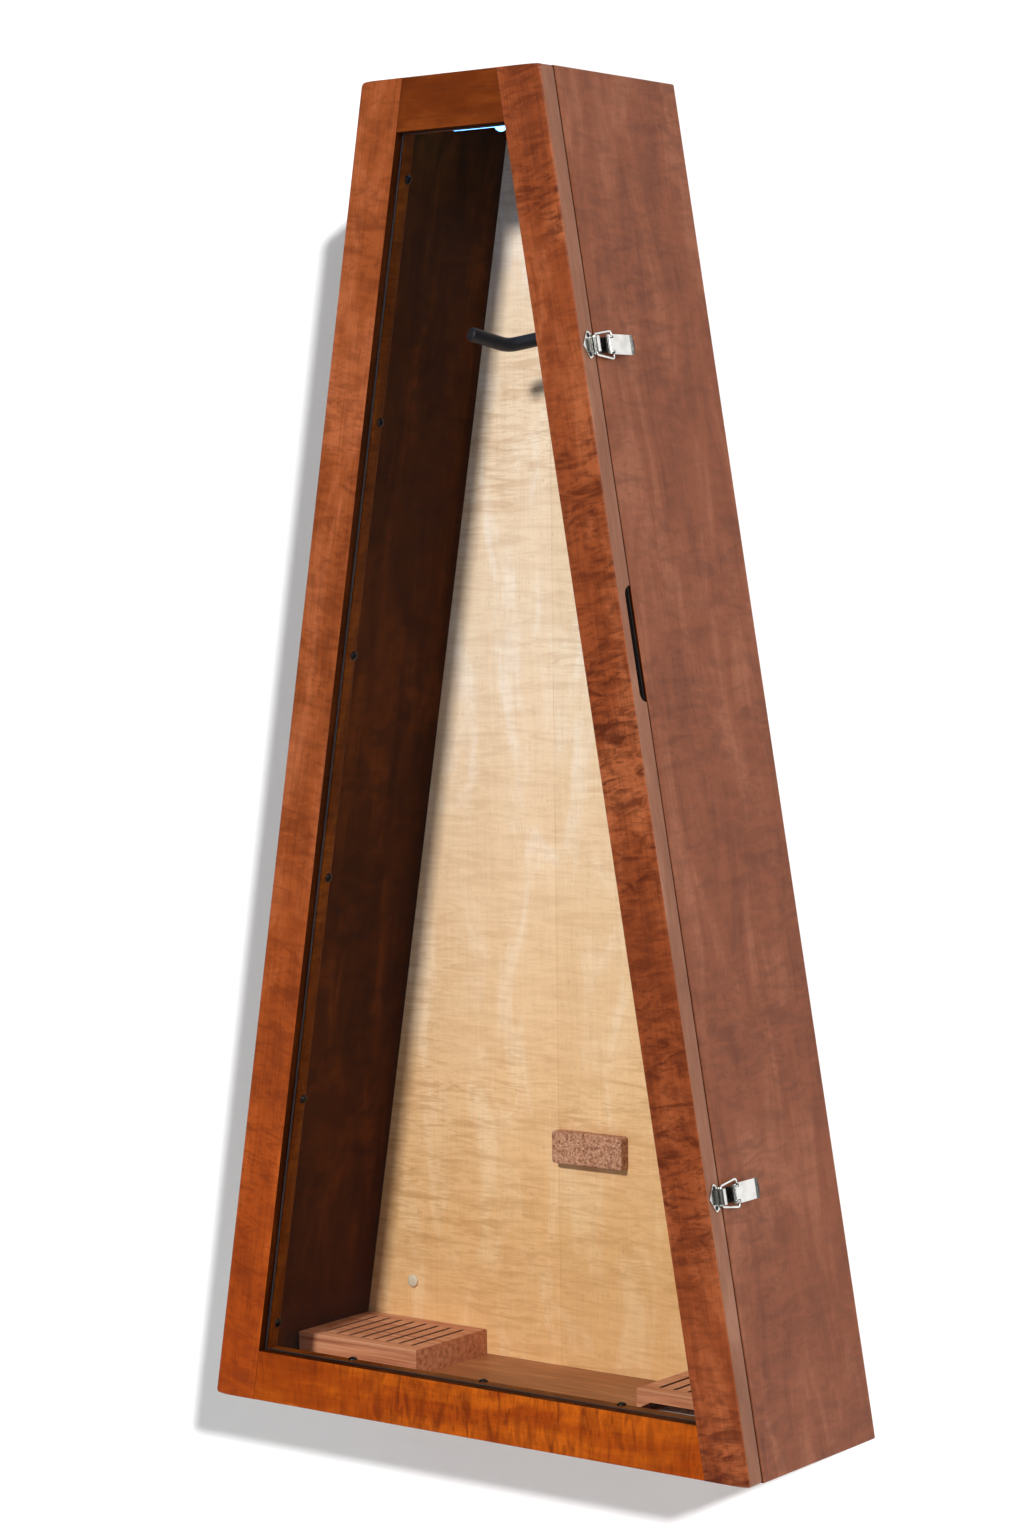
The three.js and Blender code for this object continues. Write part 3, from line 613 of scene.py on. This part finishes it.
world = bpy.data.worlds.new("studio")
scene.world = world
world.use_nodes = True
world.node_tree.nodes["Background"].inputs["Color"].default_value = (0.97, 0.98, 1, 1)
world.node_tree.nodes["Background"].inputs["Strength"].default_value = studio["sky"]
print("stage, lights and camera set")


# ---- case boards

boards = {
    "rounding": 0.0017,
    "doorRounding": 0.0024,
    "nodes": {
        "side_panel_left": ("sidePanelLeft", ["caseLeft", "innerSidePaintedShade", "rabbet"]),
        "side_panel_right": ("sidePanelRight", ["caseRight", "innerSidePaintedShade", "rabbet"]),
        "top_panel": ("topPanel", ["caseTop", "innerSidePaintedShade", "rabbet"]),
        "bottom_panel": ("bottomPanel", ["caseTop", "floorInside", "rabbet"]),
    },
}


def facesInside(face, node):  # the face of a case board that looks into the case
    normal = face.normal
    if node.startswith("side_panel"):
        side = 1 if node.endswith("right") else -1
        return normal.x * side < -0.8
    return normal.z < -0.8 if node == "top_panel" else normal.z > 0.8


def buildBoards():
    for node, (name, looks) in boards["nodes"].items():
        shape = cadCopy(node)
        shape.normal_update()
        for face in shape.faces:
            # 1 is the inside face, 2 the front edge; both carry painted shade, apart from the floor inside
            face.material_index = 1 if facesInside(face, node) else 2 if face.normal.y < -0.8 else 0
        roundEdges(shape, boards["rounding"], 3)
        makePiece(name, shape, [wood[look] for look in looks], "root",
                  [node])
    nodes["back_panel"].data.materials.clear()
    nodes["back_panel"].data.materials.append(wood["backPanel"])


def doorSide(face, node):  # 1 is the edge of the door, 2 the narrow face round the pane, which carries painted shade
    turned = {"stile_left": -face.normal.x, "stile_right": face.normal.x,
              "rail_bottom": -face.normal.z, "rail_top": face.normal.z}[node]
    return 1 if turned > 0.8 else 2 if turned < -0.8 else 0


def isOutsideEdge(edge):  # the long front corner and the ends of a stile, not its rabbet or scoop
    middle = (edge.verts[0].co + edge.verts[1].co) / 2
    outward = halfWidth(middle.z - case["bottomZ"]) - abs(middle.x)
    return outward < 0.012 and middle.y < case["doorBack"] - 0.017


def buildDoor():
    frameParts = {
        "stile_left": ("stileLeft", "frameLeft"),
        "stile_right": ("stileRight", "frameRight"),
        "rail_bottom": ("railBottom", "frameBottom"),
        "rail_top": ("railTop", "frameTop"),
    }
    for node, (name, look) in frameParts.items():
        shape = cadCopy(node)
        shape.normal_update()
        for face in shape.faces:
            face.material_index = doorSide(face, node)
        if node.startswith("rail"):  # a rail's ends stay square against the stiles
            roundEdges(shape, 0.0004, 2, 40)
        else:
            roundEdges(shape, boards["doorRounding"], 4, 40, isOutsideEdge)
        makePiece(name, shape, [wood[look], wood["doorEdge"], wood["rabbet"]], "door", [node])
    for word in ("left", "right", "top", "bottom"):
        shape = cadCopy("stop_" + word)
        roundEdges(shape, 0.0008, 2)
        makePiece("stop" + word.capitalize(), shape, wood["stopStrip"], "door", ["stop_" + word])


gasket = {"stile": 0.0486, "radius": 0.0008, "standOff": 0.0009}


def buildPaneGasket():  # a black bead in front of the pane, against the frame
    sill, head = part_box("rail_bottom")[1][2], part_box("rail_top")[0][2]
    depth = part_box("pane")[0][1] - gasket["standOff"]
    corners = []
    for side, z in ((-1, sill), (-1, head), (1, head), (1, sill), (-1, sill)):
        half = halfWidth(z - case["bottomZ"]) - gasket["stile"] / math.cos(tilt) - gasket["standOff"]
        rise = gasket["standOff"] if z == sill else -gasket["standOff"]
        corners.append(Vector((side * half, depth, z + rise)))
    bead = tubePath(corners, [gasket["radius"]] * len(corners), 2)
    makePiece("paneGasket", bead, finishes["blackRubber"], "door", flatWeighted=False)


buildBoards()
buildDoor()
buildPaneGasket()
print("case and door boards built")


# ---- plain finishes on CAD nodes that keep their shape

kept = {
    "pane": "clearPane",
    "light_lens": "lightLens",
    "light_sensor": "lightLens",
    "light_housing": "railAluminium",
    "wall_rail": "railAluminium",
    "case_rail": "railAluminium",
    "hinge_leaf_case": "nickel",
    "hinge_leaf_door": "nickel",
    "hinge_pin": "nickel",
    "seal_left": "sealFoam",
    "seal_right": "sealFoam",
    "seal_top": "sealFoam",
    "seal_bottom": "sealFoam",
}
for node, finish in kept.items():
    nodes[node].data.materials.clear()
    nodes[node].data.materials.append(finishes[finish])


# ---- screws

screws = {
    "stopRadius": 0.0046, "stopHeight": 0.0024,
    "stopHeights": (1.187, 0.962, 0.741, 0.526, 0.307, 0.081),
    "stopDepth": -0.1945, "stopInset": 0.0485,
}


def buildStopScrews():
    source = screwMesh(screws["stopRadius"], screws["stopHeight"])
    shape = bmesh.new()
    places = []
    for side in (-1, 1):
        for height in screws["stopHeights"]:
            place = edgePlace(side, height) @ Matrix.Translation((-side * screws["stopInset"], screws["stopDepth"], 0))
            places.append(place @ flipTo((-side, 0, 0)) @ Matrix.Rotation(height * 9, 4, "Z"))
    for x in (-0.16, 0.0, 0.16):
        places.append(atHeight(x, screws["stopDepth"], 0.0491) @ Matrix.Rotation(x * 7, 4, "Z"))
    addCopies(shape, source, places)
    makePiece("stopScrews", shape, finishes["blackScrew"], "door", flatWeighted=False)


buildStopScrews()


# ---- draw latches, on the right side

latch = {
    "heights": {"upper": 1.016, "lower": 0.2545},
    "pivotY": 0.016, "tipY": 0.0532, "tipBand": 0.0052,
    "wire": 0.0012, "plateTop": 0.0012,
}


def buildLatch(word, height):
    place = edgePlace(1, height)
    back = case["doorBack"]
    parts = {"strike": "door", "latch_base": "root", "latch_pin": "root", "latch_lever": "lever_" + word}
    for part, body in parts.items():
        node = part + "_" + word
        shape = cadCopy(node)
        roundEdges(shape, 0.00028, 2, 35)
        home = place.inverted()
        for face in shape.faces:  # painted shade on the cradle under the bail, in the dark steel finish, and the lever's turned-up tip
            spot = home @ face.calc_center_median()
            outward = (home.to_3x3() @ face.normal).x > 0.6
            paintedShadeCradle = part == "latch_base" and outward and spot.x < 0.003
            tip = part == "latch_lever" and outward and spot.y > back + latch["tipY"] - latch["tipBand"]
            face.material_index = 1 if paintedShadeCradle or tip else 0
        name = part.replace("latch_", "latch ").replace("strike", "latch strike").title().replace(" ", "")
        makePiece("l" + name[1:] + word.capitalize(), shape,
                  [finishes["nickel"], finishes["darkSteelAndPaintedShade"]], body, [node])
    hitch = (latch["pivotY"] + 0.0061 + back, 0.0044)
    bar = (back - 0.0021, 0.0032)

    def wirePoint(y, z):
        share = (y - bar[0]) / (hitch[0] - bar[0])
        return Vector((bar[1] + share * (hitch[1] - bar[1]), y, z))

    corners = [wirePoint(hitch[0], 0.0076), wirePoint(hitch[0], 0.0128), wirePoint(bar[0], 0.0093),
               wirePoint(bar[0], -0.0093), wirePoint(hitch[0], -0.0128), wirePoint(hitch[0], -0.0076)]
    route = roundedRoute(corners, 0.0026)
    wire = tubePath(route, [latch["wire"]] * len(route), 5)
    bmesh.ops.transform(wire, matrix=place, verts=wire.verts)
    makePiece("latchBail" + word.capitalize(), wire, finishes["nickel"], "bail_" + word,
              ["latch_bail_" + word], flatWeighted=False)
    source = screwMesh(0.0023, 0.0007, 16)
    plate = bmesh.new()
    spots = [(back - 0.0088, 0.0088), (back - 0.0088, -0.0088)]
    addCopies(plate, source, [place @ Matrix.Translation((latch["plateTop"], y, z)) @ flipTo((1, 0, 0)) @
                              Matrix.Rotation(z * 300, 4, "Z") for y, z in spots])
    makePiece("strikeScrews" + word.capitalize(), plate, finishes["darkSteelAndPaintedShade"], "door", flatWeighted=False)
    foot = bmesh.new()
    spots = [(back + 0.0205, 0.0), (back + 0.0305, 0.0)]
    addCopies(foot, source, [place @ Matrix.Translation((latch["plateTop"] + 0.0002, y, z)) @ flipTo((1, 0, 0))
                             for y, z in spots])
    makePiece("baseScrews" + word.capitalize(), foot, finishes["nickel"], "root", flatWeighted=False)


for latchWord, latchHeight in latch["heights"].items():
    buildLatch(latchWord, latchHeight)
print("latches built")


# ---- yoke

yoke = {
    "z": -0.0635, "tipSpread": 0.046, "bendSpread": 0.032, "rod": 0.003, "sleeve": 0.0068,
    "rodY": -0.05915, "bendY": -0.09315, "tipY": -0.13315, "hubBack": -0.04915, "hubFront": -0.06415,
}


def armPoints(side, inset):
    return [Vector((side * yoke["tipSpread"], yoke["tipY"] + inset, yoke["z"] + 0.0005)),
            Vector((side * yoke["bendSpread"], yoke["bendY"], yoke["z"] - 0.01)),
            Vector((0, yoke["rodY"], yoke["z"]))]


def alongY(y0):  # a spun shape turned so that its z runs forward from a depth
    return Matrix.Translation((0, y0, yoke["z"])) @ Matrix.Rotation(math.pi / 2, 4, "X")


def buildYoke():
    face = case["backFace"]
    depth = yoke["hubBack"] - face
    flange = [(0, 0.0001), (0.0199, 0.0001), (0.02, 0.0006), (0.02, 0.0026), (0.0188, 0.0039),
              (0.008, 0.004), (0.0062, 0.0052), (0.005, 0.0068), (0.005, -depth - 0.0052),
              (0.0078, -depth - 0.0048), (0.008, -depth - 0.004), (0.008, -depth - 0.0008), (0.005, -depth - 0.0005),
              (0.005, -depth + 0.0066), (0.0046, -depth + 0.007), (0, -depth + 0.007)]
    stem = spunProfile(flange, 40)
    bmesh.ops.transform(stem, matrix=alongY(face), verts=stem.verts)
    makePiece("yokeStem", stem, finishes["blackMetal"], "root", ["yoke_stem"], 30, False)
    screw = screwMesh(0.0033, 0.0017, 20)
    heads = bmesh.new()
    addCopies(heads, screw, [alongY(face - 0.0039) @ Matrix.Rotation(a, 4, "Z") @ Matrix.Translation((0.0138, 0, 0))
                             for a in (math.pi / 2, math.pi * 7 / 6, math.pi * 11 / 6)])
    makePiece("flangeScrews", heads, finishes["blackScrew"], "root", flatWeighted=False)

    hubDepth = yoke["hubBack"] - yoke["hubFront"]
    hub = spunProfile([(0.0054, 0.0), (0.0078, 0.0), (0.0085, 0.0008), (0.0085, hubDepth - 0.001),
                       (0.0075, hubDepth), (0.0042, hubDepth), (0.0036, hubDepth - 0.0012), (0, hubDepth - 0.0014)], 36)
    bmesh.ops.transform(hub, matrix=alongY(yoke["hubBack"]), verts=hub.verts)
    left, right = armPoints(-1, 0.003), armPoints(1, 0.003)
    route = roundedRoute(left + right[:-1][::-1], 0.009)
    rod = tubePath(route, [yoke["rod"]] * len(route), 6)
    target = bmesh.new()
    addCopies(target, meshOf(hub), [Matrix.Identity(4)])
    addCopies(target, meshOf(rod), [Matrix.Identity(4)])
    makePiece("yokeArms", target, finishes["blackMetal"], "yoke", ["yoke_rod"], 30, False)

    for side, word in ((-1, "left"), (1, "right")):
        tip, bend, centre = armPoints(side, 0)
        points = roundedRoute([tip, bend, bend.lerp(centre, 0.68)], 0.009)
        start, end = points[0], points[-1]
        ahead = (points[1] - start).normalized()
        behind = (points[-2] - end).normalized()
        full = yoke["sleeve"]
        nose = [(0.0, 0.78), (0.0003, 0.88), (0.0008, 0.95), (0.0016, 0.99), (0.0026, 1.0)]
        cuff = [(0.003, 1.0), (0.0024, 1.0), (0.0022, 0.93), (0.0016, 0.93), (0.0006, 0.93), (0.0, 0.86)]
        route = [start + ahead * d for d, r in nose] + points[1:-1] + [end + behind * d for d, r in cuff]
        radii = [full * r for d, r in nose] + [full] * (len(points) - 2) + [full * r for d, r in cuff]
        sleeve = tubePath(route, radii, 12)
        makePiece("sleeve" + word.capitalize(), sleeve, finishes["blackRubber"], "yoke",
                  ["sleeve_" + word], 40, False)


buildYoke()
print("yoke built")


# ---- humidity boxes and their packs

humidity = {
    "left": {"spot": (-0.2105, -0.071), "turn": math.pi},
    "right": {"spot": (0.2085, -0.076), "turn": 0.0},
    "rounding": 0.0007, "pack": (0.122, 0.088, 0.0058),
}


def buildHumidityBox(word):
    spot = humidity[word]["spot"]
    shape = cadCopy("humidity_box_" + word)
    shape.normal_update()
    half = Vector((0.0755, 0.0565))
    for face in shape.faces:  # walls of the slots and the mouth, away from the outer faces
        middle = face.calc_center_median()
        x, y = abs(middle.x - spot[0]), abs(middle.y - spot[1])
        upright = abs(face.normal.z) < 0.5
        face.material_index = 1 if upright and x < half.x - 0.001 and y < half.y - 0.001 else 0
    roundEdges(shape, humidity["rounding"], 2, 50)
    makePiece("humidityBox" + word.capitalize(), shape, [finishes["cedar"], finishes["slotEdge"]],
              "humidity_" + word, ["humidity_box_" + word])


def buildHumidityPack(word):  # a soft pouch with flat crimped ends
    width, depth, height = humidity["pack"]
    low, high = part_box("humidity_pack_" + word)
    middle = (low + high) / 2
    shape = bmesh.new()
    bmesh.ops.create_grid(shape, x_segments=48, y_segments=36, size=0.5)
    lower = bmesh.ops.duplicate(shape, geom=shape.faces[:])["geom"]
    lowerVerts = {v for v in lower if isinstance(v, bmesh.types.BMVert)}
    for vert in shape.verts:
        x, y = vert.co.x * 2, vert.co.y * 2
        swell = (1 - abs(x) ** 5) * (1 - abs(y) ** 3) if abs(x) < 0.9 else (1 - 0.9 ** 5) * (1 - abs(y) ** 3) * max(0.0, (0.97 - abs(x)) / 0.07)
        dimple = 0.86 + 0.14 * math.sin(x * 9 + 1) * math.sin(y * 7)
        rise = max(0.0, swell) * dimple
        rise = 0.03 + 0.94 * rise if vert not in lowerVerts else -0.03 - 0.04 * rise
        vert.co = (vert.co.x * width, vert.co.y * depth, 0.0004 + max(0.0, rise) * (height - 0.0006))
        if vert in lowerVerts:
            vert.co.z = 0.0001
    bmesh.ops.bridge_loops(shape, edges=[e for e in shape.edges if e.is_boundary])
    bmesh.ops.recalc_face_normals(shape, faces=shape.faces)
    bmesh.ops.translate(shape, vec=(middle.x, middle.y, low.z + 0.0001), verts=shape.verts)
    piece = makePiece("humidityPack" + word.capitalize(), shape, finishes["pouchFilm"], "humidity_" + word,
                      ["humidity_pack_" + word], 60, False)


for boxWord in ("left", "right"):
    buildHumidityBox(boxWord)
    buildHumidityPack(boxWord)
print("humidity boxes built")


# ---- small fittings

fittings = {"padRounding": 0.0022, "buttonHeight": 0.086, "buttonX": 0.229}


def buildFittings():
    pad = cadCopy("cork_pad")
    roundEdges(pad, fittings["padRounding"], 4, 25)
    makePiece("corkPad", pad, finishes["cork"], "root", ["cork_pad"])
    plate = cadCopy("floor_plate")
    roundEdges(plate, 0.0006, 3, 25)
    makePiece("floorPlate", plate, finishes["brushedSteel"], "root", ["floor_plate"])
    low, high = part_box("floor_plate")
    heads = bmesh.new()
    middleY = (low.y + high.y) / 2
    addCopies(heads, screwMesh(0.0036, 0.0014), [
        Matrix.Translation((x, middleY, high.z - 0.0001)) for x in (low.x + 0.0075, high.x - 0.0075)])
    makePiece("plateScrews", heads, finishes["nickel"], "root", flatWeighted=False)
    for side, word in ((-1, "left"), (1, "right")):
        button = spunProfile([(0, 0.0), (0.0064, 0.0), (0.0065, 0.0003), (0.0064, 0.0014), (0.0058, 0.0023),
                              (0.0046, 0.0028), (0.0024, 0.003), (0, 0.003)], 36)
        spot = Matrix.Translation((side * fittings["buttonX"], case["backFace"] - 0.0001,
                                   fittings["buttonHeight"] + case["bottomZ"]))
        bmesh.ops.transform(button, matrix=spot @ Matrix.Rotation(math.pi / 2, 4, "X"), verts=button.verts)
        makePiece("coverButton" + word.capitalize(), button, finishes["creamPlastic"], "root",
                  ["cover_button_" + word], 50, False)
        low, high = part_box("bumper_" + word)
        middle = (low + high) / 2
        thick = high.y - low.y
        foot = spunProfile([(0, 0), (0.0095, 0), (0.01, 0.0005), (0.0098, thick - 0.0016), (0.0088, thick - 0.0004),
                            (0.0078, thick), (0.003, thick), (0.0026, thick - 0.0018), (0, thick - 0.0018)], 36)
        turned = Matrix.Translation((middle.x, low.y, middle.z)) @ Matrix.Rotation(-math.pi / 2, 4, "X")
        bmesh.ops.transform(foot, matrix=turned, verts=foot.verts)
        makePiece("bumper" + word.capitalize(), foot, finishes["blackRubber"], "root",
                  ["bumper_" + word], 40, False)


buildFittings()
print("fittings built")
